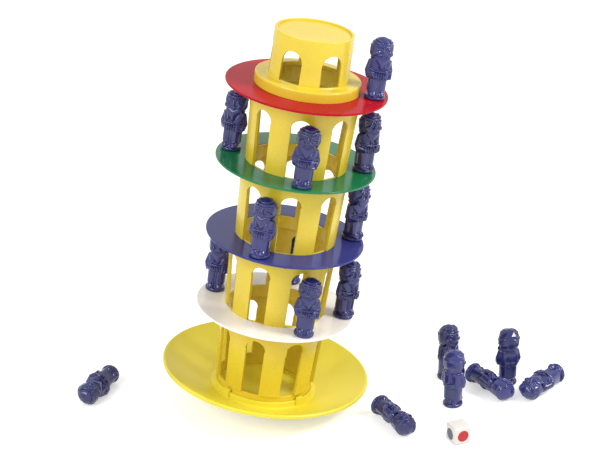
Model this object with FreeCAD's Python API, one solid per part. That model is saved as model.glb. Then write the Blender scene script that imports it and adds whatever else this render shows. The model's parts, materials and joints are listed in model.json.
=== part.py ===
import FreeCAD, Part
import math
import os

# A leaning-tower balance game. Millimetres, +Z up, table top at z = 0.
# The origin is the point where the round underside of the base dish touches the table.
# The tower is built upright about the z axis, then tipped over to +X by LEAN as it stands in play.

# How the tower stands
LEAN = 7.9
ROCKER_R = 150.0

# Base dish: a shallow bowl whose outside is part of a ball, with a socket for the first storey
DISH_RIM_R = 78.0
DISH_WALL = 2.9
DISH_LIP_W = 1.6
DISH_LIP_EDGE = 0.6
SEAT_ABOVE_FLOOR = 0.2
SEAT_INSET = 1.0
SOCKET_WALL = 1.8
SOCKET_H = 5.0
LUG_COUNT = 4
LUG_FIRST = 45.0
LUG_W = 5.0
LUG_T = 1.8
LUG_H = 6.6
FLANGE_MARGIN = 0.4

# Storeys: open drums that widen upwards, each with a spigot that plugs into what is below
STOREY_H = 56.4
STOREY_LEDGE = 1.4
STOREY_FLARE = 2.4
STOREY_WALL_TOP = 1.8
SPIGOT_R = 36.0
SPIGOT_DRAFT = 0.4
SPIGOT_WALL = 1.6
SPIGOT_H = 9.5
SOCKET_GAP = 0.3
WINDOW_COUNT = 8
WINDOW_HALF = 7.0
ARCH_STEP = 0.6
ARCH_BELOW_TOP = 10.3
STOREY_TURNS = (28.0, 22.5, -1.0, -2.0)

# Gallery discs: flat rings held between two storeys
DISC_W = 22.2
DISC_T = 1.6
DISC_HOLE_GAP = 0.3
DISC_NAMES = ("disc_white", "disc_blue", "disc_green", "disc_red")

# Belfry: a wide collar with a narrower windowed drum on it
COLLAR_LEDGE = 2.2
COLLAR_H = 7.6
COLLAR_WALL = 3.6
COLLAR_DECK_T = 2.0
BELFRY_R = 28.4
BELFRY_WALL = 2.0
BELFRY_H = 33.5
BELFRY_WINDOW_COUNT = 6
BELFRY_WINDOW_HALF = 7.8
BELFRY_SILL = 2.0
BELFRY_ARCH_BELOW_TOP = 7.0
BELFRY_TURN = 0.0

# Little men: one solid moulding, with flats instead of round sides
MAN_H = 45.4
MAN_SIDES = 8
MAN_BASE_HALF_DEPTH = 8.0
MAN_BASE_HALF_WIDTH = 7.5
MAN_BASE_H = 2.8
MAN_HEAD_R = 8.2
MAN_JAW_H = 31.4
MAN_BROW_H = 39.8
MAN_CROWN_R = 4.0

# The body between base and head: height, half depth, half width, how far it reaches forward
MAN_BODY = (
    (4.4, 5.8, 6.4, 0.0),
    (13.4, 5.6, 6.2, 0.0),
    (16.0, 6.6, 8.4, 0.9),
    (19.4, 6.6, 9.7, 0.7),
    (25.2, 6.2, 9.3, 0.2),
    (28.8, 5.4, 7.4, 0.0),
)

# Where the men stand on the galleries: disc number, gap between head and wall, bearing of the place,
# and the bearing they face
GALLERY_MEN = (
    ("man_white_1", 0, 3.4, -3.6, -52.0),
    ("man_white_2", 0, 0.5, -63.5, -86.0),
    ("man_white_3", 0, 0.6, 160.0, -96.0),
    ("man_white_4", 0, 0.6, 76.0, 74.0),
    ("man_blue_1", 1, 2.4, 10.0, -42.0),
    ("man_blue_2", 1, 0.8, -112.0, -110.0),
    ("man_green_1", 2, 0.6, -1.5, -60.0),
    ("man_green_2", 2, 0.6, -85.0, -92.0),
    ("man_green_3", 2, 0.6, 169.5, -106.0),
    ("man_red_1", 3, 0.6, -9.5, -80.0),
)

# Men on the table: x, y and the bearing they face if standing, or that their heads point to if lying
STANDING_MEN = (
    ("man_table_1", 124.0, -14.4, 60.0),
    ("man_table_2", 122.8, 29.6, -50.0),
    ("man_table_3", 168.8, 22.0, 100.0),
)
LYING_MEN = (
    ("man_table_4", -145.0, 1.0, -112.0, 135.0),
    ("man_table_5", 77.0, -48.0, -63.0, 135.0),
    ("man_table_6", 153.0, 6.0, -56.0, 135.0),
    ("man_table_7", 194.0, 6.0, -130.0, 180.0),
)

# Die
DIE_SIZE = 14.0
DIE_EDGE = 1.2
DIE_X = 123.8
DIE_Y = -70.3
DIE_TURN = 24.0

# How far a window cutter runs on past the wall
CUT_PAST = 5.0

# Sizes that follow from the ones above
UP = FreeCAD.Vector(0, 0, 1)
ORIGIN = FreeCAD.Vector(0, 0, 0)
ROCKER_CENTRE = FreeCAD.Vector(0, 0, ROCKER_R)
SPIGOT_TIP_R = SPIGOT_R - SPIGOT_DRAFT
SPIGOT_INNER_R = SPIGOT_TIP_R - SPIGOT_WALL
STOREY_R = SPIGOT_R + STOREY_LEDGE
STOREY_TOP_R = STOREY_R + STOREY_FLARE
DISC_HOLE_R = SPIGOT_R + DISC_HOLE_GAP
SOCKET_R = SPIGOT_TIP_R + SOCKET_GAP
DISH_INNER_R = ROCKER_R - DISH_WALL
SEAT_Z = ROCKER_R - math.sqrt(DISH_INNER_R**2 - SOCKET_R**2) + SEAT_ABOVE_FLOOR
SILL_1 = SEAT_Z + SPIGOT_H
PITCH = STOREY_H + DISC_T
DISC_TOPS = [SILL_1 + PITCH * (i + 1) for i in range(len(DISC_NAMES))]


def point(x, y, z):
    return FreeCAD.Vector(x, y, z)


def ring(outline):
    """Turn a closed outline of (radius, height) points about the tower's axis."""
    corners = [point(r, 0, z) for r, z in outline]
    face = Part.Face(Part.makePolygon(corners + corners[:1]))
    return face.revolve(ORIGIN, UP, 360)


def turned(shape, degrees):
    copy = shape.copy()
    copy.rotate(ORIGIN, UP, degrees)
    return copy


def raised(shape, z):
    copy = shape.copy()
    copy.translate(point(0, 0, z))
    return copy


def leaning(shape):
    """Tip a piece of the upright tower over, about the middle of the ball that the dish is part of."""
    copy = shape.copy()
    copy.rotate(ROCKER_CENTRE, point(0, 1, 0), LEAN)
    return copy


def bar(outline, direction):
    """Push a closed outline of lines and arcs along a direction."""
    return Part.Face(Part.Wire(outline)).extrude(direction)


def arch_head(arch_r, spring, reach):
    """The half-round top of a window, as a bar along +X."""
    left = point(0, -arch_r, spring)
    right = point(0, arch_r, spring)
    crown = Part.Arc(left, point(0, 0, spring + arch_r), right).toShape()
    return bar([crown, Part.makeLine(right, left)], point(reach, 0, 0))


def drafted_bay(half, at_r, sill, spring, reach):
    """The straight part of a window. Its jambs run to the axis, so it opens outwards and frees its core."""
    side = half * reach / at_r
    corners = [point(0, 0, sill), point(reach, -side, sill), point(reach, side, sill)]
    floor = Part.makePolygon(corners + corners[:1])
    return bar(floor.Edges, point(0, 0, spring - sill))


def cut_windows(drum, cutter, count):
    pitch = 360.0 / count
    return drum.cut([turned(cutter, pitch * i - 90.0) for i in range(count)])


def ball_height(ball_r, r):
    """Height of a ball of this radius about the rocker's centre, at a distance r from the axis."""
    return ROCKER_R - math.sqrt(ball_r**2 - r**2)


def ball_arc(ball_r, r_from, r_to):
    ends = [point(r, 0, ball_height(ball_r, r)) for r in (r_from, (r_from + r_to) / 2, r_to)]
    return Part.Arc(*ends).toShape()


def dish():
    rim_z = ball_height(ROCKER_R, DISH_RIM_R)
    lip_r = DISH_RIM_R - DISH_LIP_W
    lip_z = ball_height(DISH_INNER_R, lip_r)
    edge_z = lip_z - DISH_LIP_EDGE
    edges = [
        ball_arc(ROCKER_R, 0, DISH_RIM_R),
        Part.makeLine(point(DISH_RIM_R, 0, rim_z), point(DISH_RIM_R, 0, edge_z)),
        Part.makeLine(point(DISH_RIM_R, 0, edge_z), point(DISH_RIM_R - DISH_LIP_EDGE, 0, lip_z)),
        Part.makeLine(point(DISH_RIM_R - DISH_LIP_EDGE, 0, lip_z), point(lip_r, 0, lip_z)),
        ball_arc(DISH_INNER_R, lip_r, 0),
        Part.makeLine(point(0, 0, DISH_WALL), ORIGIN),
    ]
    bowl = Part.Face(Part.Wire(edges)).revolve(ORIGIN, UP, 360)
    seat_inner_r = SPIGOT_INNER_R - SEAT_INSET
    socket_out = SOCKET_R + SOCKET_WALL
    flange_r = math.hypot(socket_out + LUG_T, LUG_W / 2) + FLANGE_MARGIN
    flange_z = ball_height(DISH_INNER_R, flange_r) + SEAT_ABOVE_FLOOR
    mid_wall = ROCKER_R - DISH_WALL / 2
    socket = ring(
        [
            (seat_inner_r, ball_height(mid_wall, seat_inner_r)),
            (seat_inner_r, SEAT_Z),
            (SOCKET_R, SEAT_Z),
            (SOCKET_R, SEAT_Z + SOCKET_H),
            (socket_out, SEAT_Z + SOCKET_H),
            (socket_out, flange_z),
            (flange_r, flange_z),
            (flange_r, ball_height(mid_wall, flange_r)),
        ]
    )
    lug_root = socket_out - SOCKET_WALL / 2
    lug_reach = socket_out + LUG_T - lug_root
    lug = Part.makeBox(lug_reach, LUG_W, LUG_H, point(lug_root, -LUG_W / 2, flange_z))
    lugs = [turned(lug, LUG_FIRST + 360.0 / LUG_COUNT * i) for i in range(LUG_COUNT)]
    return bowl.fuse([socket] + lugs).removeSplitter()


def storey():
    """One drum with its sill at z = 0 and its spigot below."""
    drum = ring(
        [
            (SPIGOT_TIP_R, -SPIGOT_H),
            (SPIGOT_R, 0),
            (STOREY_R, 0),
            (STOREY_TOP_R, STOREY_H),
            (STOREY_TOP_R - STOREY_WALL_TOP, STOREY_H),
            (SPIGOT_INNER_R, -SPIGOT_H),
        ]
    )
    reach = STOREY_TOP_R + CUT_PAST
    arch_r = WINDOW_HALF + ARCH_STEP
    spring = STOREY_H - ARCH_BELOW_TOP - arch_r
    bay = drafted_bay(WINDOW_HALF, STOREY_R, 0, spring, reach)
    return cut_windows(drum, bay.fuse(arch_head(arch_r, spring, reach)), WINDOW_COUNT)


def disc():
    """A gallery ring with its top at z = 0."""
    return ring(
        [
            (DISC_HOLE_R, -DISC_T),
            (DISC_HOLE_R, 0),
            (DISC_HOLE_R + DISC_W, 0),
            (DISC_HOLE_R + DISC_W, -DISC_T),
        ]
    )


def belfry():
    """The collar stands at z = 0 with its spigot below and the small drum on its deck."""
    collar_r = SPIGOT_R + COLLAR_LEDGE
    inner = BELFRY_R - BELFRY_WALL
    top = COLLAR_H + BELFRY_H
    deck_under = COLLAR_H - COLLAR_DECK_T
    body = ring(
        [
            (SPIGOT_TIP_R, -SPIGOT_H),
            (SPIGOT_R, 0),
            (collar_r, 0),
            (collar_r, COLLAR_H),
            (BELFRY_R, COLLAR_H),
            (BELFRY_R, top),
            (inner, top),
            (inner, deck_under),
            (collar_r - COLLAR_WALL, deck_under),
            (SPIGOT_INNER_R, -SPIGOT_H),
        ]
    )
    half = BELFRY_WINDOW_HALF
    reach = BELFRY_R + CUT_PAST
    sill = COLLAR_H + BELFRY_SILL
    spring = top - BELFRY_ARCH_BELOW_TOP - half
    bay = Part.makeBox(reach, 2 * half, spring - sill, point(0, -half, sill))
    window = bay.fuse(arch_head(half, spring, reach)).removeSplitter()
    return cut_windows(body, turned(window, 180.0 / BELFRY_WINDOW_COUNT), BELFRY_WINDOW_COUNT)


def flat_section(z, depth, width, forward=0.0):
    """Corners of a level polygon round an oval that may sit a little forward of the middle.

    Its sides have the same directions at every height, so the walls between two levels are flat.
    """
    step = 2 * math.pi / MAN_SIDES
    reach = []
    for i in range(MAN_SIDES):
        c, s = math.cos(i * step), math.sin(i * step)
        reach.append(math.hypot(depth * c, width * s) + forward * c)
    corners = []
    for i in range(MAN_SIDES):
        a, b = i * step, (i + 1) * step
        ra, rb = reach[i], reach[(i + 1) % MAN_SIDES]
        x = (ra * math.sin(b) - rb * math.sin(a)) / math.sin(step)
        y = (rb * math.cos(a) - ra * math.cos(b)) / math.sin(step)
        corners.append(point(x, y, z))
    return corners


def stacked(levels):
    """A closed solid with flat walls through a list of level polygons."""
    faces = [Part.Face(Part.makePolygon(c + c[:1])) for c in (levels[0], levels[-1])]
    for low, high in zip(levels, levels[1:]):
        for i in range(len(low)):
            j = (i + 1) % len(low)
            faces.append(Part.Face(Part.makePolygon([low[i], low[j], high[j], high[i], low[i]])))
    solid = Part.Solid(Part.makeShell(faces))
    if solid.Volume < 0:
        solid.reverse()
    return solid


def man():
    """A little man on an oval base, facing +X, arms at his sides and hands together at his belt."""
    base = [flat_section(z, MAN_BASE_HALF_DEPTH, MAN_BASE_HALF_WIDTH) for z in (0.0, MAN_BASE_H)]
    body = [flat_section(*level) for level in MAN_BODY]
    head = [
        flat_section(MAN_JAW_H, MAN_HEAD_R, MAN_HEAD_R),
        flat_section(MAN_BROW_H, MAN_HEAD_R, MAN_HEAD_R),
        flat_section(MAN_H, MAN_CROWN_R, MAN_CROWN_R),
    ]
    return stacked(base + body + head)


def standing(figure, x, y, facing):
    copy = turned(figure, facing)
    copy.translate(point(x, y, 0))
    return copy


def lying(figure, x, y, heading, roll):
    """Lay a man down, head towards heading, rolled about his own length, resting on base and jaw."""
    copy = turned(figure, roll)
    c, s = math.cos(math.radians(roll)), math.sin(math.radians(roll))
    base_reach = math.hypot(MAN_BASE_HALF_DEPTH * c, MAN_BASE_HALF_WIDTH * s)
    tilt = math.degrees(math.atan2(MAN_HEAD_R - base_reach, MAN_JAW_H))
    copy.rotate(ORIGIN, point(0, 1, 0), 90.0 - tilt)
    copy.rotate(ORIGIN, UP, heading)
    box = copy.BoundBox
    copy.translate(point(x - (box.XMin + box.XMax) / 2, y - (box.YMin + box.YMax) / 2, -box.ZMin))
    return copy


def die():
    cube = Part.makeBox(DIE_SIZE, DIE_SIZE, DIE_SIZE, point(-DIE_SIZE / 2, -DIE_SIZE / 2, 0))
    cube = cube.makeChamfer(DIE_EDGE, cube.Edges)
    cube = turned(cube, DIE_TURN)
    cube.translate(point(DIE_X, DIE_Y, 0))
    return cube


def build():
    pieces = {"rocker_dish": leaning(dish())}
    one_storey = storey()
    one_disc = disc()
    for i, turn in enumerate(STOREY_TURNS):
        drum = raised(turned(one_storey, turn), SILL_1 + PITCH * i)
        pieces["storey_%d" % (i + 1)] = leaning(drum)
    for name, top in zip(DISC_NAMES, DISC_TOPS):
        pieces[name] = leaning(raised(one_disc, top))
    pieces["belfry"] = leaning(raised(turned(belfry(), BELFRY_TURN), DISC_TOPS[-1]))
    figure = man()
    for name, level, gap, bearing, facing in GALLERY_MEN:
        from_axis = STOREY_TOP_R + gap + MAN_HEAD_R
        x = from_axis * math.cos(math.radians(bearing))
        y = from_axis * math.sin(math.radians(bearing))
        pieces[name] = leaning(raised(standing(figure, x, y, facing), DISC_TOPS[level]))
    for name, x, y, facing in STANDING_MEN:
        pieces[name] = standing(figure, x, y, facing)
    for name, x, y, heading, roll in LYING_MEN:
        pieces[name] = lying(figure, x, y, heading, roll)
    pieces["die"] = die()
    return pieces


os.makedirs("parts", exist_ok=True)
for name, shape in build().items():
    if not shape.isValid():
        raise ValueError("%s is not a valid shape" % name)
    shape.exportStep("parts/%s.step" % name)
    print(name, len(shape.Solids), round(shape.Volume, 1))
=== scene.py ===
import json
import math
from types import SimpleNamespace

import bmesh
import bpy
import numpy as np
from bpy.props import FloatProperty, FloatVectorProperty, IntProperty, PointerProperty
from mathutils import Matrix, Vector


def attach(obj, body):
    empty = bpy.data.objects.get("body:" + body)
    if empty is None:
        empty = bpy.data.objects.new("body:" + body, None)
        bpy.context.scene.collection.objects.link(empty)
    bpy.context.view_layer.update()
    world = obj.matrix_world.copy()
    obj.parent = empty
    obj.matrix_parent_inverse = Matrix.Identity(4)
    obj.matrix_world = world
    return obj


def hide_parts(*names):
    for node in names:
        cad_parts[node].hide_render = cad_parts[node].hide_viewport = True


bl_info = {
    "name": "Leaning tower balance game",
    "version": (1, 0, 0),
    "blender": (4, 5, 0),
    "location": "3D View > Sidebar > Tower game",
    "description": "Arcaded storeys, gallery discs, a rocking dish, little men and a die",
    "category": "Add Mesh",
}

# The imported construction, and what can be read off it. Pieces are built in millimetres.
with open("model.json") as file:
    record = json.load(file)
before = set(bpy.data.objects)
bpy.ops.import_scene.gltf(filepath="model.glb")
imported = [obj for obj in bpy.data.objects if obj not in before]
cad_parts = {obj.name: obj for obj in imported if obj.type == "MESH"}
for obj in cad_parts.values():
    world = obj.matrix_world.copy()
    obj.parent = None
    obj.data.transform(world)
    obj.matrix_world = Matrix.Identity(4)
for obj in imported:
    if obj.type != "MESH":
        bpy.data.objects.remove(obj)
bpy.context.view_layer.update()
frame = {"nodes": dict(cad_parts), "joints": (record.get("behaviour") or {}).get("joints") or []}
MM = 0.001
JOINTS = {joint["name"]: joint for joint in frame["joints"]}
ROCKER_CENTRE = Vector(JOINTS["tower_rock"]["pos_m"])
UP = Vector((0, 0, 1))
LEANING = (
    Matrix.Translation(ROCKER_CENTRE)
    @ UP.rotation_difference(Vector(JOINTS["storey_1_lift"]["axis"])).to_matrix().to_4x4()
    @ Matrix.Translation(-ROCKER_CENTRE)
)
FROM_MM = Matrix.Scale(MM, 4)
STOREYS = sorted(name for name in frame["nodes"] if name.startswith("storey_"))
DISCS = ("disc_white", "disc_blue", "disc_green", "disc_red")
MEN = sorted(name for name in frame["nodes"] if name.startswith("man_"))
# Corners this close to a height or a radius lie on it, a ledge is two heights nearly the same, and
# corners closer than the weld become one
SAME = 0.02
LEDGE = 0.01
WELD = 0.002
# Steps in half a window's arch
ARCH_STEPS = 12


def srgb(red, green, blue):
    """A screen colour, 0 to 255, as the linear numbers that a shader takes."""
    shares = [part / 255 for part in (red, green, blue)]
    return tuple(s / 12.92 if s <= 0.04045 else ((s + 0.055) / 1.055) ** 2.4 for s in shares)


def between(value, low, high, at_low, at_high):
    return at_low + (at_high - at_low) * (value - low) / (high - low)


def points_of(node, matrix=Matrix.Identity(4)):
    """A node's corners in millimetres, one row each, after a matrix is taken off them."""
    mesh = frame["nodes"][node].data
    rows = np.empty(len(mesh.vertices) * 3)
    mesh.vertices.foreach_get("co", rows)
    back = np.array(matrix.inverted())
    return (rows.reshape(-1, 3) @ back[:3, :3].T + back[:3, 3]) / MM


def upright(node):
    return points_of(node, LEANING)


def axis_distance(points):
    return np.hypot(points[:, 0], points[:, 1])


def radii(points, z):
    """The different distances from the axis that corners at this height have, smallest first."""
    level = points[np.abs(points[:, 2] - z) < SAME]
    found = []
    for r in sorted(axis_distance(level)):
        if not found or r - found[-1] > SAME:
            found.append(float(r))
    return found


def heights(points, r):
    """Lowest and highest corner that lies at this distance from the axis."""
    z = points[np.abs(axis_distance(points) - r) < SAME][:, 2]
    return float(z.min()), float(z.max())


def read_disc(node):
    points = upright(node)
    low, high = float(points[:, 2].min()), float(points[:, 2].max())
    inner, outer = radii(points, high)
    return SimpleNamespace(low=low, high=high, inner=inner, outer=outer)


def read_drum(node):
    """Heights and radii of a drum with its spigot, as it is before it leans."""
    points = upright(node)
    low, top = float(points[:, 2].min()), float(points[:, 2].max())
    tip_in, tip_out = radii(points, low)
    past_spigot = tip_out + 1.0
    sill = float(points[axis_distance(points) > past_spigot][:, 2].min())
    neck, foot = radii(points, sill)[-2:]
    top_in, top_out = radii(points, top)
    return SimpleNamespace(
        points=points, low=low, top=top, tip_in=tip_in, tip_out=tip_out, sill=sill, neck=neck, foot=foot,
        top_in=top_in, top_out=top_out,
    )


def read_windows(points, sill, r, pillars=False):
    """Count, first bearing and half width, as angles, of the gaps between corners at a sill.

    Where the sill itself has corners all along it, the gaps are the pillars instead.
    """
    level = points[(np.abs(points[:, 2] - sill) < SAME) & (np.abs(axis_distance(points) - r) < SAME)]
    bearings = np.sort(np.arctan2(level[:, 1], level[:, 0]))
    gaps = np.diff(np.append(bearings, bearings[0] + 2 * math.pi))
    wide = gaps > gaps.max() - math.radians(1.0)
    count = int(wide.sum())
    half = float(gaps[wide].mean()) / 2
    first = float(bearings[wide][0]) + half
    if pillars:
        first, half = first + math.pi / count, math.pi / count - half
    return SimpleNamespace(count=count, first=first, jamb=half, sill=sill)


def read_dish():
    """Rim, floor and socket of the upright dish. The socket's corners lie on neither of its two balls."""
    points = upright("rocker_dish")
    ball = ROCKER_CENTRE.z / MM
    rim, top = float(axis_distance(points).max()), float(points[:, 2].max())
    lip_in, lip_out = radii(points, top)
    inner_ball = math.hypot(lip_in, top - ball)
    from_centre = np.hypot(axis_distance(points), points[:, 2] - ball)
    off = points[(np.abs(from_centre - ball) > SAME) & (np.abs(from_centre - inner_ball) > SAME)]
    near_socket = rim / 2 + 5.0
    off = off[axis_distance(off) < near_socket]
    levels = sorted(set(np.round(off[:, 2], 2)))
    seat, flange_top, socket_top, lug_top = (float(off[np.abs(off[:, 2] - z) < SAME][:, 2].mean()) for z in levels)
    return SimpleNamespace(
        ball=ball, inner_ball=inner_ball, rim=rim, edge=heights(points, rim)[1], top=top, lip_in=lip_in,
        lip_out=lip_out, seat=seat, seat_in=radii(off, seat)[0], socket_in=radii(off, seat)[1],
        socket_top=socket_top, socket_out=radii(off, socket_top)[-1], flange_top=flange_top,
        flange=radii(off, flange_top)[-1], lug_top=lug_top,
    )


def read_die():
    """Middle, size and turn of the die, from the corners of the flat that it lies on."""
    points = points_of("die")
    low, high = points.min(axis=0), points.max(axis=0)
    centre = (low + high) / 2
    flat = points[points[:, 2] < low[2] + SAME][:, :2] - centre[:2]
    turn = math.atan2(flat[0, 1], flat[0, 0]) % (math.pi / 2) - math.pi / 4
    return SimpleNamespace(centre=Vector(centre), size=float(high[2] - low[2]), turn=turn)


# Sizes and colours that a user would change. Lengths are metres in the panel, millimetres in the making.
def length(name, description, mm):
    return FloatProperty(name=name, description=description, default=mm * MM, min=0.0, unit="LENGTH", precision=5)


def tint(name, description, *colour):
    return FloatVectorProperty(
        name=name, description=description, default=srgb(*colour), size=3, min=0.0, max=1.0, subtype="COLOR"
    )


class MouldingSettings(bpy.types.PropertyGroup):
    """The yellow mouldings: dish, storeys and belfry."""

    colour: tint("Colour", "Colour of the storeys and the belfry", 225, 200, 58)
    shade: tint("Deeper colour", "What their colour drifts to in patches", 218, 191, 48)
    dish: tint("Dish colour", "Colour of the dish", 232, 217, 66)
    dish_shade: tint("Deeper dish colour", "What the dish's colour drifts to in patches", 227, 210, 55)
    edge: length("Window edge", "Rounding of the window openings", 0.24)
    corner: length("Corner", "Rounding of the rims and sills", 0.4)
    wall: length("Thinnest wall", "Depth of the flat panel that a bay is bent from", 1.6)
    columns: IntProperty(name="Columns", description="Strips across a storey's bay", default=20, min=4, max=64)
    arch_radius: length("Storey arch", "Radius of a storey's window head", 7.6)
    arch_below: length("Above storey arch", "From the crown of a storey's arch to its top", 12.0)
    belfry_below: length("Above belfry arch", "From the crown of a belfry arch to its top", 10.0)
    belfry_sill: length("Belfry sill", "From the belfry's deck up to its sills", 0.7)
    belfry_flare: length("Belfry flare", "How much wider the belfry's drum is at its foot", 1.4)
    roof_sunk: length("Roof", "How far the belfry's roof lies under its rim", 1.3)
    segments: IntProperty(name="Segments", description="Steps round dish and discs", default=256, min=32, max=512)
    lug_count: IntProperty(name="Lugs", description="Lugs round the dish's socket", default=4, min=1, max=12)
    lug_width: length("Lug width", "Width of a lug", 5.0)
    lug_depth: length("Lug depth", "How far a lug stands out of the socket", 1.8)
    lug_bearing: FloatProperty(
        name="First lug", description="Bearing of the first lug", default=math.radians(45.0), subtype="ANGLE"
    )


class DiscSettings(bpy.types.PropertyGroup):
    """The four gallery discs."""

    white: tint("White", "Colour of the lowest disc", 253, 247, 238)
    blue: tint("Blue", "Colour of the second disc", 56, 59, 128)
    green: tint("Green", "Colour of the third disc", 20, 120, 70)
    red: tint("Red", "Colour of the top disc", 178, 22, 36)
    corner: length("Corner", "Rounding of a disc's edges", 0.45)
    nick: length("Gate nick", "Width of the nick that the mould's gate leaves on the rim", 1.7)


class ManSettings(bpy.types.PropertyGroup):
    """The little men."""

    colour: tint("Colour", "Colour of the men", 44, 47, 112)
    shade: tint("Deeper colour", "What the colour drifts to in patches", 30, 31, 86)
    voxel: length("Sculpting grain", "Size of the cells that melt the lumps together", 0.25)
    kept: FloatProperty(
        name="Faces kept", description="Share of the sculpted faces kept", default=0.22, min=0.05, max=1.0,
        subtype="FACTOR",
    )


class DieSettings(bpy.types.PropertyGroup):
    """The colour die."""

    colour: tint("Body", "Colour of the die", 222, 218, 210)
    red_spot: tint("Red spot", "Spot on the front right face", 182, 36, 42)
    blue_spot: tint("Blue spot", "Spot on the front left face", 84, 88, 108)
    green_spot: tint("Green spot", "Spot on the back left face", 34, 140, 84)
    corner: length("Corner", "Rounding of the die's edges", 1.7)
    spot: length("Spot", "Width of a spot", 8.8)
    proud: length("Spot thickness", "How far a spot stands out of its face", 0.08)


class StageSettings(bpy.types.PropertyGroup):
    """Table, lamps and camera."""

    table: length("Table", "Half the width of the table top", 6000.0)
    world: FloatProperty(name="World light", description="Strength of the even light", default=0.72, min=0.0, max=2.0)
    key: FloatProperty(name="Key lamp", description="Power of the main lamp", default=17.0, min=0.0, unit="POWER")
    fill: FloatProperty(name="Fill lamp", description="Power of the fill lamp", default=14.0, min=0.0, unit="POWER")
    lens: FloatProperty(name="Lens", description="Focal length", default=110.75, min=20.0, unit="CAMERA")
    drop: FloatProperty(
        name="View down", description="How far the camera looks down", default=math.radians(22.9), subtype="ANGLE"
    )


class TowerGame(bpy.types.PropertyGroup):
    """Everything that can be changed."""

    moulding: PointerProperty(type=MouldingSettings, name="Mouldings", description="Dish, storeys and belfry")
    discs: PointerProperty(type=DiscSettings, name="Discs", description="Gallery discs")
    men: PointerProperty(type=ManSettings, name="Men", description="Little men")
    die: PointerProperty(type=DieSettings, name="Die", description="Colour die")
    stage: PointerProperty(type=StageSettings, name="Stage", description="Table, lamps and camera")


def settings():
    return bpy.context.scene.tower_game


class Node:
    """One output of a node, so that sums and products of it add their own Math nodes."""

    def __init__(self, tree, socket):
        self.tree = tree
        self.socket = socket

    @classmethod
    def new(cls, tree, kind, output=0, setup=None, **values):
        """Any node: its setup first, then values or links for its inputs, by name or as _ and a number.

        An output node has no output of its own, and then there is no socket.
        """
        node = tree.nodes.new(kind)
        for name, value in (setup or {}).items():
            setattr(node, name, value)
        for name, value in values.items():
            key = int(name[1:]) if name[0] == "_" and name[1:].isdigit() else name.replace("_", " ")
            entry = node.inputs[key]
            if isinstance(value, cls):
                tree.links.new(value.socket, entry)
            else:
                entry.default_value = value
        return cls(tree, node.outputs[output] if node.outputs else None)

    def maths(self, operation, *others, reflected=False):
        operands = (*others, self) if reflected else (self, *others)
        inputs = {"_%d" % i: value for i, value in enumerate(operands)}
        return Node.new(self.tree, "ShaderNodeMath", setup={"operation": operation}, **inputs)

    def __add__(self, other):
        return self.maths("ADD", other)

    __radd__ = __add__

    def __mul__(self, other):
        return self.maths("MULTIPLY", other)

    __rmul__ = __mul__

    def __sub__(self, other):
        return self.maths("SUBTRACT", other)

    def __rsub__(self, other):
        return self.maths("SUBTRACT", other, reflected=True)

    def __truediv__(self, other):
        return self.maths("DIVIDE", other)

    def __rtruediv__(self, other):
        return self.maths("DIVIDE", other, reflected=True)

    def step(self, low, high):
        """0 below low, 1 above high, smooth in between."""
        setup = {"interpolation_type": "SMOOTHSTEP"}
        return Node.new(self.tree, "ShaderNodeMapRange", setup=setup, Value=self, From_Min=low, From_Max=high)


def opaque(colour):
    return (*colour, 1.0)


def mixed(tree, share, first, second):
    """Two colours mixed. The node has these sockets once for each kind of data, so numbers pick them."""
    return Node.new(tree, "ShaderNodeMix", output=2, setup={"data_type": "RGBA"}, _0=share, _6=first, _7=second)


def fresh_material(name):
    material = bpy.data.materials.new(name)
    material.use_nodes = True
    material.node_tree.nodes.clear()
    return material, material.node_tree


def moulded(name, colour, shade, gloss, grain=0.0, scuffs=0.0, relief=0.12, ior=1.5):
    """Injection-moulded plastic: slow colour drift, uneven gloss, a faint skin and fine scuffs."""
    material, tree = fresh_material(name)
    place = Node.new(tree, "ShaderNodeTexCoord", output="Object")

    def noise(size_mm, detail):
        scale = 1.0 / (size_mm * MM)
        return Node.new(tree, "ShaderNodeTexNoise", Vector=place, Scale=scale, Detail=detail, Roughness=0.5)

    drift = noise(34.0, 3.0).step(0.3, 0.7)
    base = mixed(tree, drift, opaque(colour), opaque(shade))
    handling = noise(11.0, 4.0).step(0.35, 0.75)
    roughness = handling * 0.1 + gloss
    height = noise(2.6, 2.0) * 0.5 + noise(0.5, 1.0) * grain
    if scuffs:
        lines = Node.new(tree, "ShaderNodeTexNoise", Vector=place, Scale=260.0, Detail=5.0, Distortion=1.6)
        marks = lines.step(0.62, 0.72) * handling
        roughness = roughness + marks * scuffs
    bump = Node.new(tree, "ShaderNodeBump", Strength=relief, Distance=0.05 * MM, Height=height)
    shader = Node.new(
        tree, "ShaderNodeBsdfPrincipled", Base_Color=base, Roughness=roughness, Normal=bump, IOR=ior
    )
    Node.new(tree, "ShaderNodeOutputMaterial", Surface=shader)
    return material


def dulled(colour, share):
    return tuple(part * share for part in colour)


def yellow_plastic():
    own = settings().moulding
    found = bpy.data.materials.get("yellow_moulding")
    return found or moulded(
        "yellow_moulding", own.colour, own.shade, gloss=0.24, grain=0.2, scuffs=0.04, relief=0.08
    )


def new_piece(name, mesh, node, materials):
    """A finished piece that stands for one node and moves with the body of the same name.

    With one material, faces lose the number that they bring from other meshes.
    """
    piece = bpy.data.objects.new(name, mesh)
    bpy.context.scene.collection.objects.link(piece)
    if len(materials) == 1:
        mesh.materials.clear()
        mesh.polygons.foreach_set("material_index", [0] * len(mesh.polygons))
    for material in materials:
        mesh.materials.append(material)
    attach(piece, node)
    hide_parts(node)
    return piece


def maker_of(mesh):
    maker = bpy.data.objects.new("maker", mesh)
    bpy.context.scene.collection.objects.link(maker)
    return maker


def evaluated_copy(maker):
    """A maker object's mesh with its modifiers applied. The maker and its own mesh go."""
    bpy.context.view_layer.update()
    result = bpy.data.meshes.new_from_object(maker.evaluated_get(bpy.context.evaluated_depsgraph_get()))
    source = maker.data
    bpy.data.objects.remove(maker)
    bpy.data.meshes.remove(source)
    return result


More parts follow.
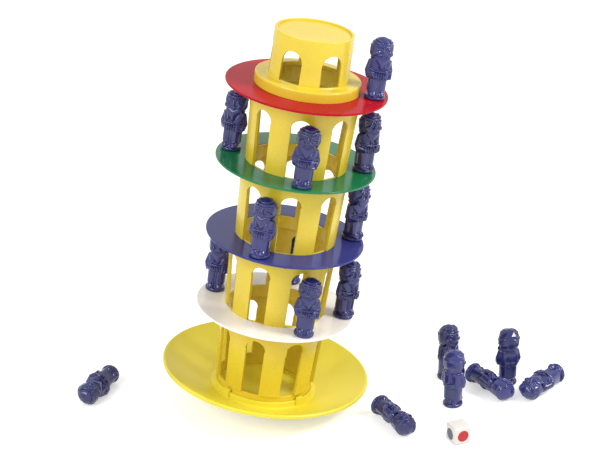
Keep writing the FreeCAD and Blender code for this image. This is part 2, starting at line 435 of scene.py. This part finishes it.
def baked(mesh, *modifiers):
    """The mesh with modifiers applied, each given as a type and its settings."""
    maker = maker_of(mesh)
    for kind, values in modifiers:
        modifier = maker.modifiers.new(kind.lower(), kind)
        for name, value in values.items():
            setattr(modifier, name, value)
    return evaluated_copy(maker)


def grown(mesh, tree, **values):
    """The mesh after a Geometry Nodes tree, whose inputs are given by name."""
    maker = maker_of(mesh)
    modifier = maker.modifiers.new("nodes", "NODES")
    modifier.node_group = tree
    for item in tree.interface.items_tree:
        key = item.name.replace(" ", "_")
        if item.in_out == "INPUT" and key in values:
            modifier[item.identifier] = values[key]
    return evaluated_copy(maker)


def mesh_of(bm, name, outwards=True):
    if outwards:
        bmesh.ops.recalc_face_normals(bm, faces=bm.faces[:])
    mesh = bpy.data.meshes.new(name)
    bm.to_mesh(mesh)
    bm.free()
    return mesh


def joined(name, meshes):
    """Several meshes as one. Their faces keep their material numbers."""
    bm = bmesh.new()
    for mesh in meshes:
        bm.from_mesh(mesh)
        bpy.data.meshes.remove(mesh)
    return mesh_of(bm, name, outwards=False)


def shaded(mesh, matrix, sharp_degrees=50.0):
    """Put a millimetre mesh in its place and shade it, with broad faces kept flat beside narrow ones."""
    mesh.transform(matrix @ FROM_MM)
    mesh.shade_smooth()
    mesh.set_sharp_from_angle(angle=math.radians(sharp_degrees))
    return baked(mesh, ("WEIGHTED_NORMAL", {"mode": "FACE_AREA", "weight": 80, "keep_sharp": True}))


def filleted(corners, steps=4):
    """An outline with rounded corners, from rows of radius, height and rounding."""
    outline = []
    for i, (r, z, rounding) in enumerate(corners):
        corner = Vector((r, z))
        if not rounding:
            outline.append((r, z))
            continue
        before = (Vector(corners[i - 1][:2]) - corner).normalized()
        after = (Vector(corners[(i + 1) % len(corners)][:2]) - corner).normalized()
        half = before.angle(after) / 2
        centre = corner + (before + after).normalized() * rounding / math.sin(half)
        start = corner + before * rounding / math.tan(half) - centre
        end = corner + after * rounding / math.tan(half) - centre
        for step in range(steps + 1):
            outline.append(tuple(centre + start.lerp(end, step / steps).normalized() * rounding))
    return outline


def spun(outline, segments):
    """A closed outline of (radius, height) points turned about the axis. Points on the axis are poles."""
    bm = bmesh.new()
    angles = [2 * math.pi * i / segments for i in range(segments)]
    rings = []
    for r, z in outline:
        if r < WELD:
            rings.append([bm.verts.new((0, 0, z))] * segments)
        else:
            rings.append([bm.verts.new((r * math.cos(a), r * math.sin(a), z)) for a in angles])
    for one, two in zip(rings, rings[1:] + rings[:1]):
        for i in range(segments):
            j = (i + 1) % segments
            corners = list(dict.fromkeys((one[i], one[j], two[j], two[i])))
            if len(corners) > 2:
                bm.faces.new(corners)
    return mesh_of(bm, "spun")


def ball_height(dish, ball_r, r):
    """Height of a ball about the rocker's centre at a distance r from the axis."""
    return dish.ball - math.sqrt(ball_r**2 - r**2)


def ball_line(dish, ball_r, r_from, r_to, steps=48):
    """Points along the underside of a ball from one distance from the axis to another."""
    start, end = math.asin(r_from / ball_r), math.asin(r_to / ball_r)
    angles = [between(i, 0, steps, start, end) for i in range(steps + 1)]
    return [(ball_r * math.sin(a), dish.ball - ball_r * math.cos(a)) for a in angles]


def rounded_block(x, y, z, corner, segments=3):
    """A block about the origin with rounded edges."""
    bm = bmesh.new()
    bmesh.ops.create_cube(bm, size=1.0, matrix=Matrix.Diagonal((x, y, z, 1.0)))
    bmesh.ops.bevel(bm, geom=bm.edges[:], offset=corner, segments=segments, profile=0.5, affect="EDGES")
    return mesh_of(bm, "block")


def rising(*rows):
    """Radius as a function of height, from rows of height and radius in rising order."""
    z, r = zip(*rows)
    return SimpleNamespace(heights=z, at=lambda height: float(np.interp(height, z, r)))


def clamped(share):
    return max(-1.0, min(1.0, share))


def bent_bay(outer, inner, window, thick, columns, edge, straight=False):
    """One bay of a round wall with its window, cut as a flat panel and then bent round the axis.

    On the flat panel x runs along the wall, y through it from the outside, and z up. With straight
    set, the sides of the window run parallel through the wall instead of to the axis.
    """
    flat_r = outer.at(window.spring)
    border = flat_r * math.sin(math.pi / window.count)
    jamb = flat_r * math.sin(window.jamb)
    low, top = outer.heights[0], outer.heights[-1]
    angles = [between(i, 0, ARCH_STEPS, math.pi / 2, 0) for i in range(1, ARCH_STEPS + 1)]
    hole = [(0.0, window.spring + window.arch_r)]
    hole += [(window.arch_r * math.cos(a), window.spring + window.arch_r * math.sin(a)) for a in angles]
    if abs(jamb - window.arch_r) > SAME:
        hole.append((jamb, window.spring))
    hole += [(jamb, window.sill), (0.0, window.sill)]
    outline = [(0.0, low), (border, low), (border, top), (0.0, top)] + hole

    bm = bmesh.new()
    made = {}

    def vert(x, y, z):
        key = (round(x, 5), round(y, 5), round(z, 5))
        if key not in made:
            made[key] = bm.verts.new(key)
        return made[key]

    rim = set()
    for side in (-1, 1):
        front = [vert(side * x, 0.0, z) for x, z in outline]
        back = [vert(side * x, thick, z) for x, z in outline]
        rim.update(front[4:] + back[4:])
        bm.faces.new(front)
        bm.faces.new(back)
        for i, (x, _) in enumerate(outline):
            j = (i + 1) % len(outline)
            if x or outline[j][0]:
                bm.faces.new((front[i], front[j], back[j], back[i]))
    bmesh.ops.recalc_face_normals(bm, faces=bm.faces[:])

    def along_rim(e):
        one, two = e.verts
        return one in rim and two in rim and one.co.y == two.co.y

    edges = [e for e in bm.edges if along_rim(e)]
    bmesh.ops.bevel(bm, geom=edges, offset=edge, offset_type="OFFSET", segments=3, profile=0.5, affect="EDGES")
    turns = [between(i, 0, columns, -1, 1) * math.pi / window.count for i in range(1, columns)]
    cuts = [(Vector((flat_r * math.sin(turn), 0, 0)), Vector((1, 0, 0))) for turn in turns]
    cuts += [(Vector((0, 0, z)), UP) for z in sorted({*outer.heights[1:-1], *inner.heights[1:-1]})]
    for place, normal in cuts:
        everything = bm.verts[:] + bm.edges[:] + bm.faces[:]
        bmesh.ops.bisect_plane(bm, geom=everything, dist=1e-5, plane_co=place, plane_no=normal)
    sides = [f for f in bm.faces if all(abs(v.co.x) > border - 1e-4 for v in f.verts)]
    bmesh.ops.delete(bm, geom=sides, context="FACES")

    for v in bm.verts:
        x, y, z = v.co
        r = outer.at(z) - y if y < thick / 2 else inner.at(z) + thick - y
        turn = math.asin(clamped(x / flat_r))
        if straight:
            share = min(1.0, (border - abs(x)) / (border - jamb))
            turn += share * (math.asin(clamped(x / r)) - turn)
        v.co = (r * math.cos(turn), r * math.sin(turn), z)
    return mesh_of(bm, "bay", outwards=False)


def ring_tree():
    """Geometry Nodes: copies of the incoming mesh at even bearings round the axis, welded together."""
    found = bpy.data.node_groups.get("ring_of_bays")
    if found:
        return found
    tree = bpy.data.node_groups.new("ring_of_bays", "GeometryNodeTree")
    kinds = (
        ("Bay", "NodeSocketGeometry"), ("Count", "NodeSocketInt"), ("First bearing", "NodeSocketFloat"),
        ("Weld distance", "NodeSocketFloat"), ("Material", "NodeSocketMaterial"),
    )
    for name, kind in kinds:
        tree.interface.new_socket(name, in_out="INPUT", socket_type=kind)
    tree.interface.new_socket("Ring", in_out="OUTPUT", socket_type="NodeSocketGeometry")
    given = {name: Node.new(tree, "NodeGroupInput", output=name) for name, _ in kinds}
    points = Node.new(tree, "GeometryNodePoints", Count=given["Count"])
    number = Node.new(tree, "GeometryNodeInputIndex")
    bearing = number * (2 * math.pi) / given["Count"] + given["First bearing"]
    turn = Node.new(tree, "FunctionNodeEulerToRotation", Euler=Node.new(tree, "ShaderNodeCombineXYZ", Z=bearing))
    copies = Node.new(tree, "GeometryNodeInstanceOnPoints", Points=points, Instance=given["Bay"], Rotation=turn)
    real = Node.new(tree, "GeometryNodeRealizeInstances", Geometry=copies)
    welded = Node.new(tree, "GeometryNodeMergeByDistance", Geometry=real, Distance=given["Weld distance"])
    painted = Node.new(tree, "GeometryNodeSetMaterial", Geometry=welded, Material=given["Material"])
    Node.new(tree, "NodeGroupOutput", Ring=painted)
    return tree


def ring_of(mesh, count, first, material):
    return grown(mesh, ring_tree(), Count=count, First_bearing=first, Weld_distance=WELD, Material=material)


def make_storeys():
    own = settings().moulding
    c = own.corner / MM
    for number, node in enumerate(STOREYS, start=1):
        drum = read_drum(node)
        window = read_windows(drum.points, drum.sill, drum.foot)
        window.arch_r = own.arch_radius / MM
        window.spring = drum.top - own.arch_below / MM - window.arch_r
        window.sill = drum.sill - LEDGE
        outer = rising(
            (drum.low, drum.tip_out - c), (drum.low + 0.3 * c, drum.tip_out - 0.3 * c),
            (drum.low + c, drum.tip_out), (drum.sill - LEDGE, drum.neck), (drum.sill, drum.foot - 0.4 * c),
            (drum.sill + 0.4 * c, drum.foot), (drum.top - c, drum.top_out),
            (drum.top - 0.3 * c, drum.top_out - 0.3 * c), (drum.top, drum.top_out - c),
        )
        inner = rising(
            (drum.low, drum.tip_in + 0.5 * c), (drum.low + 0.5 * c, drum.tip_in), (drum.top - c, drum.top_in),
            (drum.top - 0.3 * c, drum.top_in + 0.3 * c), (drum.top, drum.top_in + 0.6 * c),
        )
        bay = bent_bay(outer, inner, window, own.wall / MM, own.columns, own.edge / MM)
        ring = ring_of(bay, window.count, window.first, yellow_plastic())
        new_piece("arcade_%d" % number, shaded(ring, LEANING), node, [yellow_plastic()])


def make_belfry():
    own = settings().moulding
    c = own.corner / MM
    drum = read_drum("belfry")
    deck = heights(drum.points, drum.top_out)[0]
    deck_under = heights(drum.points, drum.top_in)[0]
    collar_in = radii(drum.points, deck_under)[-1]
    on_drum = drum.points[np.abs(axis_distance(drum.points) - drum.top_out) < SAME][:, 2]
    sill = float(on_drum[on_drum > deck + SAME].min())
    window = read_windows(drum.points, sill, drum.top_out, pillars=True)
    window.sill = deck + own.belfry_sill / MM
    window.arch_r = drum.top_out * math.sin(window.jamb)
    window.spring = drum.top - own.belfry_below / MM - window.arch_r
    brow = 1.1
    flare = own.belfry_flare / MM
    foot_out, foot_in = drum.top_out + flare, drum.top_in + flare
    outer = rising(
        (drum.low, drum.tip_out - c), (drum.low + c, drum.tip_out), (drum.sill - LEDGE, drum.neck),
        (drum.sill, drum.foot - 0.5 * c), (drum.sill + 0.5 * c, drum.foot), (deck - brow, drum.foot),
        (deck - 0.6 * brow, drum.foot - 0.1 * brow), (deck - 0.3 * brow, drum.foot - 0.3 * brow),
        (deck - 0.1 * brow, drum.foot - 0.6 * brow), (deck - LEDGE, drum.foot - brow),
        (deck, foot_out + 0.6), (deck + 0.2, foot_out + 0.2), (deck + 0.6, foot_out),
        (drum.top - c, drum.top_out), (drum.top - 0.3 * c, drum.top_out - 0.3 * c), (drum.top, drum.top_out - c),
    )
    inner = rising(
        (drum.low, drum.tip_in + 0.5 * c), (drum.low + 0.5 * c, drum.tip_in), (deck_under - LEDGE, collar_in),
        (deck_under, foot_in + 0.3), (deck_under + 0.3, foot_in), (drum.top - c, drum.top_in),
        (drum.top - 0.3 * c, drum.top_in + 0.3 * c), (drum.top, drum.top_in + c),
    )
    columns = round(own.columns * len(STOREYS) * 2 / window.count)
    bay = bent_bay(outer, inner, window, own.wall / MM, columns, own.edge / MM, straight=True)
    ring = ring_of(bay, window.count, window.first, yellow_plastic())
    roof_top, roof_thick, roof_r = drum.top - own.roof_sunk / MM, 1.4, drum.top_in + 0.6
    roof_under = roof_top - roof_thick
    roof = spun([(0.0, roof_under), (roof_r, roof_under), (roof_r, roof_top), (0.0, roof_top)], own.segments)
    new_piece("belfry_shell", shaded(joined("belfry", [ring, roof]), LEANING), "belfry", [yellow_plastic()])


# Bearing in degrees of the nick that the mould's gate leaves on each disc's rim, and how strongly its
# sheet reflects
GATE_BEARINGS = {"disc_white": 100.0, "disc_blue": -89.0, "disc_green": 75.0, "disc_red": 110.0}
SHEET_IOR = {"disc_white": 1.45, "disc_blue": 1.32, "disc_green": 1.42, "disc_red": 1.15}


def make_discs():
    own = settings().discs
    for node in DISCS:
        disc = read_disc(node)
        c = own.corner / MM
        ring = spun(
            filleted([(disc.inner, disc.low, c), (disc.outer, disc.low, c), (disc.outer, disc.high, c),
                      (disc.inner, disc.high, c)]),
            settings().moulding.segments,
        )
        nick_sunk, nick_drop, short = 0.35, 0.1, 0.1
        nick = rounded_block(own.nick / MM, own.nick / MM, disc.high - disc.low - short, corner=0.3)
        middle = (disc.low + disc.high) / 2
        place = Matrix.Translation((disc.outer - nick_sunk, 0, middle - nick_drop))
        nick.transform(Matrix.Rotation(math.radians(GATE_BEARINGS[node]), 4, "Z") @ place)
        name = node.split("_")[1]
        colour = getattr(own, name)
        plastic = moulded(
            name + "_sheet", colour, dulled(colour, 0.9), gloss=0.14, grain=0.05, scuffs=0.08, relief=0.06,
            ior=SHEET_IOR[node],
        )
        new_piece("gallery_" + name, shaded(joined("gallery", [ring, nick]), LEANING), node, [plastic])


def make_dish():
    own = settings().moulding
    dish = read_dish()
    c = own.corner / MM
    lip = 0.4 * (dish.top - dish.edge)
    near_rim, near_lip = dish.rim - 0.35, dish.lip_in - 1.4
    brim = filleted([
        (near_rim, ball_height(dish, dish.ball, near_rim), 0.0),
        (dish.rim, ball_height(dish, dish.ball, dish.rim), 0.15),
        (dish.rim, dish.edge, lip), (dish.lip_out, dish.top, lip), (dish.lip_in, dish.top, c),
        (near_lip, ball_height(dish, dish.inner_ball, near_lip), 0.0),
    ])
    outside = ball_line(dish, dish.ball, 0.0, near_rim)
    inside = ball_line(dish, dish.inner_ball, near_lip, 0.0)
    bowl = spun(outside[:-1] + brim + inside[1:], own.segments)
    sunk = 1.6
    socket = spun(
        filleted([
            (dish.seat_in, ball_height(dish, dish.inner_ball, dish.seat_in) - sunk, 0.0),
            (dish.flange, ball_height(dish, dish.inner_ball, dish.flange) - sunk, 0.0),
            (dish.flange, dish.flange_top, 0.15), (dish.socket_out, dish.flange_top, 0.2),
            (dish.socket_out, dish.socket_top, c), (dish.socket_in, dish.socket_top, c),
            (dish.socket_in, dish.seat, 0.2), (dish.seat_in, dish.seat, 0.3),
        ]),
        own.segments,
    )
    root, out = dish.socket_out - 0.9, dish.socket_out + own.lug_depth / MM
    foot = dish.flange_top - 0.5
    lug = rounded_block(out - root, own.lug_width / MM, dish.lug_top - foot, corner=0.35)
    lug.transform(Matrix.Translation(((root + out) / 2, 0, (dish.lug_top + foot) / 2)))
    plastic = moulded(
        "lemon_moulding", own.dish, own.dish_shade, gloss=0.3, grain=0.15, scuffs=0.03, relief=0.06, ior=1.4
    )
    lugs = ring_of(lug, own.lug_count, own.lug_bearing, plastic)
    mesh = joined("tower_dish", [bowl, socket, lugs])
    new_piece("tower_dish", shaded(mesh, LEANING), "rocker_dish", [plastic])


def make_die():
    """A rounded cube with one thin coloured spot on three of its sides."""
    own = settings().die
    die = read_die()
    parts = [rounded_block(die.size, die.size, die.size, own.corner / MM, segments=6)]
    spot_r, proud, sunk, bevel = own.spot / MM / 2, own.proud / MM, 0.4, 0.12
    outline = [(0.0, -sunk), (spot_r, -sunk), (spot_r, 0.0), (spot_r - bevel, proud), (0.0, proud)]
    for number, normal in enumerate(((0, -1, 0), (-1, 0, 0), (0, 1, 0)), start=1):
        spot = spun(outline, segments=96)
        turn = UP.rotation_difference(Vector(normal)).to_matrix().to_4x4()
        spot.transform(turn @ Matrix.Translation((0, 0, die.size / 2)))
        spot.polygons.foreach_set("material_index", [number] * len(spot.polygons))
        parts.append(spot)
    place = Matrix.Translation(die.centre * MM) @ Matrix.Rotation(die.turn, 4, "Z")
    body = moulded("white_moulding", own.colour, dulled(own.colour, 0.93), gloss=0.3, grain=0.2)
    inks = [
        moulded(name + "_ink", getattr(own, name), dulled(getattr(own, name), 0.88), gloss=0.42, grain=0.4)
        for name in ("red_spot", "blue_spot", "green_spot")
    ]
    new_piece("colour_die", shaded(joined("die", parts), place, sharp_degrees=35.0), "die", [body, *inks])


# The little man in his own frame: millimetres, facing +X, his left at +Y, feet at z = 0.
# A lump is the rounded hull of a few balls: forward, left, up and one radius, or three.
# Lumps named in PAIRED are made on both sides.
MAN_LUMPS = {
    "base": [
        (6.9 * math.cos(i * math.pi / 8), 6.4 * math.sin(i * math.pi / 8), z, 1.1)
        for i in range(16) for z in (1.1, 1.75)
    ],
    "shoe": [(5.0, 3.0, 4.3, 2.3, 2.8, 2.6), (0.8, 3.0, 5.0, 2.9)],
    "toe": [(6.7, 3.1, 3.8, 1.1, 2.1, 1.4)],
    "heel": [(-4.5, 2.8, 4.2, 2.1), (-1.0, 2.8, 4.8, 2.8)],
    "instep": [(4.4, 0.0, 3.4, 2.0), (-4.2, 0.0, 3.4, 2.0)],
    "trouser_leg": [
        (1.6, 2.6, 6.2, 3.9, 4.0, 1.6), (-1.6, 2.6, 6.2, 3.9, 4.0, 1.6), (1.6, 2.7, 15.2, 3.9, 4.0, 2.0),
        (-1.6, 2.7, 15.2, 3.9, 4.0, 2.0),
    ],
    "seat": [(3.6, 0.0, 6.0, 1.5), (3.8, 0.0, 14.5, 1.5), (-3.6, 0.0, 6.0, 1.5), (-3.8, 0.0, 14.5, 1.5)],
    "jacket_half": [
        (1.6, 3.0, 16.6, 4.7, 4.5, 1.4), (-1.5, 3.0, 16.6, 4.8, 4.5, 1.4), (1.3, 3.0, 26.2, 4.4, 4.3, 3.2),
        (-1.3, 3.0, 26.2, 4.4, 4.3, 3.2), (1.3, -3.0, 26.2, 4.4, 4.3, 3.2), (1.6, -3.0, 16.6, 4.7, 4.5, 1.4),
    ],
    "sleeve": [(-0.4, 6.1, 26.6, 2.6), (0.1, 7.5, 20.8, 2.7)],
    "elbow": [(0.1, 7.5, 20.8, 2.7), (0.9, 7.0, 17.2, 2.3)],
    "forearm": [(0.8, 7.3, 18.7, 2.4), (4.9, 4.7, 18.3, 1.9)],
    "fist": [(4.9, 4.5, 18.2, 1.9), (6.2, 2.4, 17.8, 1.4)],
    "belt_end": [(4.0, 7.4, 22.6, 0.7), (6.2, 3.9, 21.7, 0.7)],
    "belt": [(6.2, 3.9, 21.7, 0.7), (6.8, 0.0, 21.4, 0.7)],
    "collar_flap": [(2.6, 7.4, 28.4, 0.8), (4.6, 5.6, 29.8, 0.8), (6.6, 3.0, 24.6, 0.8), (6.0, 5.1, 23.4, 0.8)],
    "neck": [(-0.9, 0.0, 30.0, 6.0, 7.3, 2.8)],
    "back_belt": [(-3.4, 7.0, 18.9, 0.6), (-6.0, 3.2, 18.7, 0.6)],
    "back_belt_middle": [(-6.0, 3.2, 18.7, 0.6), (-6.3, 0.0, 18.6, 0.6)],
    "beard": [
        (5.0, 3.6, 31.2, 2.3), (5.0, -3.6, 31.2, 2.3), (6.3, 0.0, 29.4, 1.8), (5.8, 0.0, 24.6, 1.2),
        (5.4, 0.0, 22.8, 0.9),
    ],
    "skull": [(0.0, 0.0, 37.4, 7.7, 8.6, 8.0), (0.0, 0.0, 33.4, 7.3, 8.5, 5.4)],
    "cheek": [(6.2, 4.0, 35.4, 1.9), (5.2, 5.5, 34.4, 1.9)],
    "nose": [(8.0, 0.0, 36.3, 1.15, 1.35, 1.3), (7.4, 0.0, 38.6, 0.8)],
    "eye": [(6.8, 3.0, 38.3, 0.95, 1.3, 0.8)],
    "brow": [(7.4, 1.0, 39.7, 0.8), (5.9, 5.0, 40.2, 0.7)],
    "moustache": [(7.6, 0.8, 34.2, 1.1), (6.2, 4.6, 33.0, 0.7)],
    "lip": [(7.0, 0.0, 32.9, 0.9, 1.8, 1.0)],
    "cuff_top": [(6.7, 4.5, 20.4, 0.8), (4.7, 7.8, 20.4, 0.8)],
    "cuff_foot": [(6.7, 4.5, 16.3, 0.8), (4.7, 7.8, 16.3, 0.8)],
    "cuff_inside": [(6.8, 4.3, 20.4, 0.8), (6.8, 4.3, 16.3, 0.8)],
    "cuff_outside": [(4.6, 8.0, 20.4, 0.8), (4.6, 8.0, 16.3, 0.8)],
}
PAIRED = {
    "shoe", "toe", "heel", "trouser_leg", "jacket_half", "sleeve", "elbow", "forearm", "fist", "belt_end", "belt",
    "collar_flap", "back_belt", "back_belt_middle", "cheek", "eye", "brow", "moustache",
}
SKULL_CENTRE = 37.4
SKULL_HALF = Vector((7.7, 8.6, 8.0))
FINGERS = 6


def add_lump(bm, balls):
    seed = bmesh.new()
    bmesh.ops.create_icosphere(seed, subdivisions=2, radius=1.0)
    unit = [v.co.copy() for v in seed.verts]
    seed.free()
    verts = []
    for x, y, z, *size in balls:
        size = Vector(size * 3 if len(size) == 1 else size)
        verts += [bm.verts.new(Vector((x, y, z)) + p * size) for p in unit]
    hull = bmesh.ops.convex_hull(bm, input=verts)
    spare = {e for e in hull["geom_interior"] + hull["geom_unused"] if isinstance(e, bmesh.types.BMVert)}
    bmesh.ops.delete(bm, geom=list(spare), context="VERTS")


def head_band(bm, height, dip, thick, middle=0.0, reach=100.0, steps=28):
    """A roll half sunk round the head that dips where it crosses the middle of the forehead."""
    sunk, dip_width = 0.97, 40.0
    rows = []
    for i in range(steps + 1):
        off = between(i, 0, steps, -reach, reach)
        bearing = math.radians(middle + off)
        z = height - dip * math.exp(-((off / dip_width) ** 2))
        level = math.sqrt(max(0.0, 1.0 - max(0.0, (z - SKULL_CENTRE) / SKULL_HALF.z) ** 2))
        taper = math.sqrt(max(0.05, 1.0 - (i / steps * 2 - 1) ** 6))
        ring = sunk * level
        x, y = SKULL_HALF.x * ring * math.cos(bearing), SKULL_HALF.y * ring * math.sin(bearing)
        rows.append((x, y, z, thick * taper))
    for pair in zip(rows, rows[1:]):
        add_lump(bm, pair)


def sculpted_man():
    own = settings().men
    bm = bmesh.new()
    for name, balls in MAN_LUMPS.items():
        add_lump(bm, balls)
        if name in PAIRED:
            add_lump(bm, [(x, -y, z, *size) for x, y, z, *size in balls])
    head_band(bm, height=43.6, dip=0.7, thick=0.65)
    head_band(bm, height=42.1, dip=0.8, thick=0.75)
    head_band(bm, height=38.6, dip=0.0, thick=0.5, middle=180.0, reach=96.0)
    for i in range(FINGERS):
        y = between(i, 0, FINGERS - 1, -4.6, 3.8)
        x = 7.6 - 0.05 * y * y
        add_lump(bm, [(x, y, 19.6, 0.6), (x + 0.1, y, 16.7, 0.5)])
    return baked(
        mesh_of(bm, "man"),
        ("REMESH", {"mode": "VOXEL", "voxel_size": own.voxel / MM}),
        ("SMOOTH", {"factor": 0.5, "iterations": 1}),
        ("DECIMATE", {"ratio": own.kept}),
    )


def own_frame(rows):
    """Base centre and facing of a standing man in the frame, from his lowest level and his elbows."""
    elbow_height, near = 16.0, 0.05
    low = rows[np.abs(rows[:, 2] - rows[:, 2].min()) < SAME].mean(axis=0)
    elbow = rows[np.abs(rows[:, 2] - rows[:, 2].min() - elbow_height) < near].mean(axis=0)
    facing = math.atan2(elbow[1] - low[1], elbow[0] - low[0])
    return Matrix.Translation(Vector(low)) @ Matrix.Rotation(facing, 4, "Z")


def fitted(source, target):
    """The turn and shift that carries one set of corners onto another."""
    a, b = source.mean(axis=0), target.mean(axis=0)
    u, _, vt = np.linalg.svd((source - a).T @ (target - b))
    flip = np.diag([1.0, 1.0, np.sign(np.linalg.det(vt.T @ u.T))])
    turn = vt.T @ flip @ u.T
    error = float(np.abs((source - a) @ turn.T + b - target).max())
    if error > SAME:
        raise ValueError("two men differ by %.3f mm" % error)
    matrix = Matrix(turn.tolist()).to_4x4()
    matrix.translation = Vector(b - turn @ a)
    return matrix


def make_men():
    own = settings().men
    master = sculpted_man()
    master.shade_smooth()
    model = points_of("man_table_1")
    start = own_frame(model)
    plastic = moulded("indigo_moulding", own.colour, own.shade, gloss=0.12, grain=0.2, relief=0.1, ior=1.56)
    for node in MEN:
        mesh = master.copy()
        mesh.transform(FROM_MM @ fitted(model, points_of(node)) @ start)
        new_piece(node.replace("man", "little_man"), mesh, node, [plastic])
    bpy.data.meshes.remove(master)


def seen_or_mirrored(tree):
    """1 for rays from the camera and for those that gloss or glass sends on."""
    names = ("Is Camera Ray", "Is Glossy Ray", "Is Transmission Ray")
    first, second, third = (Node.new(tree, "ShaderNodeLightPath", output=name) for name in names)
    return first.maths("MAXIMUM", second).maths("MAXIMUM", third)


def make_table(own):
    half = own.table
    mesh = bpy.data.meshes.new("table_top")
    mesh.from_pydata([(-half, -half, 0), (half, -half, 0), (half, half, 0), (-half, half, 0)], [], [(0, 1, 2, 3)])
    table = bpy.data.objects.new("table_top", mesh)
    bpy.context.scene.collection.objects.link(table)
    material, tree = fresh_material("white_table")
    grey = Node.new(tree, "ShaderNodeBsdfDiffuse", Color=(0.8, 0.8, 0.8, 1.0))
    glow = Node.new(tree, "ShaderNodeEmission", Color=(1, 1, 1, 1), Strength=0.45)
    lit = Node.new(tree, "ShaderNodeAddShader", _0=grey, _1=glow)
    both = Node.new(tree, "ShaderNodeMixShader", _0=seen_or_mirrored(tree), _1=grey, _2=lit)
    Node.new(tree, "ShaderNodeOutputMaterial", Surface=both)
    mesh.materials.append(material)


def make_world(own):
    """White where it is seen or mirrored, and an even light on the pieces."""
    world = bpy.data.worlds.new("studio")
    bpy.context.scene.world = world
    world.use_nodes = True
    tree = world.node_tree
    tree.nodes.clear()
    light = Node.new(tree, "ShaderNodeBackground", Color=(1, 1, 1, 1), Strength=own.world)
    white = Node.new(tree, "ShaderNodeBackground", Color=(1, 1, 1, 1), Strength=1.0)
    both = Node.new(tree, "ShaderNodeMixShader", _0=seen_or_mirrored(tree), _1=light, _2=white)
    Node.new(tree, "ShaderNodeOutputWorld", Surface=both)


def softbox(name, place, aim, size, power):
    lamp = bpy.data.lights.new(name, "AREA")
    lamp.shape = "DISK"
    lamp.size = size
    lamp.energy = power
    holder = bpy.data.objects.new(name, lamp)
    holder.location = place
    holder.rotation_euler = (Vector(aim) - Vector(place)).to_track_quat("-Z", "Y").to_euler()
    bpy.context.scene.collection.objects.link(holder)


# Where lamps and camera stand, in metres, and the point that the lamps aim at
KEY_PLACE = (1.25, -0.3, 1.2)
FILL_PLACE = (-0.9, -1.1, 1.1)
LAMP_AIM = (0, 0, 0.13)
CAMERA_PLACE = (0.00862, -1.24967, 0.66094)


def make_stage():
    own = settings().stage
    scene = bpy.context.scene
    scene.view_settings.view_transform = "Standard"
    make_table(own)
    make_world(own)
    softbox("key", KEY_PLACE, LAMP_AIM, size=0.55, power=own.key)
    softbox("fill", FILL_PLACE, LAMP_AIM, size=1.0, power=own.fill)
    lens = bpy.data.cameras.new("camera")
    lens.sensor_width = 36.0
    lens.lens = own.lens
    camera = bpy.data.objects.new("camera", lens)
    camera.location = CAMERA_PLACE
    camera.rotation_euler = (math.pi / 2 - own.drop, 0, 0)
    scene.collection.objects.link(camera)
    scene.camera = camera


class AddStage(bpy.types.Operator):
    """Add the table, the lamps, the world and the camera"""

    bl_idname = "tower_game.add_stage"
    bl_label = "Add stage"

    def execute(self, context):
        make_stage()
        return {"FINISHED"}


class AddDish(bpy.types.Operator):
    """Add the rocking dish with its socket and lugs"""

    bl_idname = "tower_game.add_dish"
    bl_label = "Add dish"

    def execute(self, context):
        make_dish()
        return {"FINISHED"}


class AddStoreys(bpy.types.Operator):
    """Add the arcaded storeys"""

    bl_idname = "tower_game.add_storeys"
    bl_label = "Add storeys"

    def execute(self, context):
        make_storeys()
        return {"FINISHED"}


class AddDiscs(bpy.types.Operator):
    """Add the four gallery discs"""

    bl_idname = "tower_game.add_discs"
    bl_label = "Add gallery discs"

    def execute(self, context):
        make_discs()
        return {"FINISHED"}


class AddBelfry(bpy.types.Operator):
    """Add the belfry with its collar"""

    bl_idname = "tower_game.add_belfry"
    bl_label = "Add belfry"

    def execute(self, context):
        make_belfry()
        return {"FINISHED"}


class AddMen(bpy.types.Operator):
    """Add the little men on the galleries and on the table"""

    bl_idname = "tower_game.add_men"
    bl_label = "Add little men"

    def execute(self, context):
        make_men()
        return {"FINISHED"}


class AddDie(bpy.types.Operator):
    """Add the colour die"""

    bl_idname = "tower_game.add_die"
    bl_label = "Add die"

    def execute(self, context):
        make_die()
        return {"FINISHED"}


OPERATORS = (AddStage, AddDish, AddStoreys, AddDiscs, AddBelfry, AddMen, AddDie)


class TowerPanel(bpy.types.Panel):
    """Lists the makers and the sizes and colours that they use"""

    bl_idname = "VIEW3D_PT_tower_game"
    bl_label = "Tower game"
    bl_space_type = "VIEW_3D"
    bl_region_type = "UI"
    bl_category = "Tower game"

    def draw(self, context):
        for operator in OPERATORS:
            self.layout.operator(operator.bl_idname)
        game = context.scene.tower_game
        for group in (game.moulding, game.discs, game.men, game.die, game.stage):
            box = self.layout.box()
            for name in group.bl_rna.properties.keys():
                if name not in ("rna_type", "name"):
                    box.prop(group, name)


CLASSES = (MouldingSettings, DiscSettings, ManSettings, DieSettings, StageSettings, TowerGame, *OPERATORS, TowerPanel)


def register():
    for cls in CLASSES:
        bpy.utils.register_class(cls)
    bpy.types.Scene.tower_game = PointerProperty(
        type=TowerGame, name="Tower game", description="Sizes and colours of the tower game"
    )


def unregister():
    del bpy.types.Scene.tower_game
    for cls in reversed(CLASSES):
        bpy.utils.unregister_class(cls)


def main():
    register()
    bpy.ops.tower_game.add_stage()
    bpy.ops.tower_game.add_dish()
    bpy.ops.tower_game.add_storeys()
    bpy.ops.tower_game.add_discs()
    bpy.ops.tower_game.add_belfry()
    bpy.ops.tower_game.add_men()
    bpy.ops.tower_game.add_die()


if __name__ == "__main__":
    main()
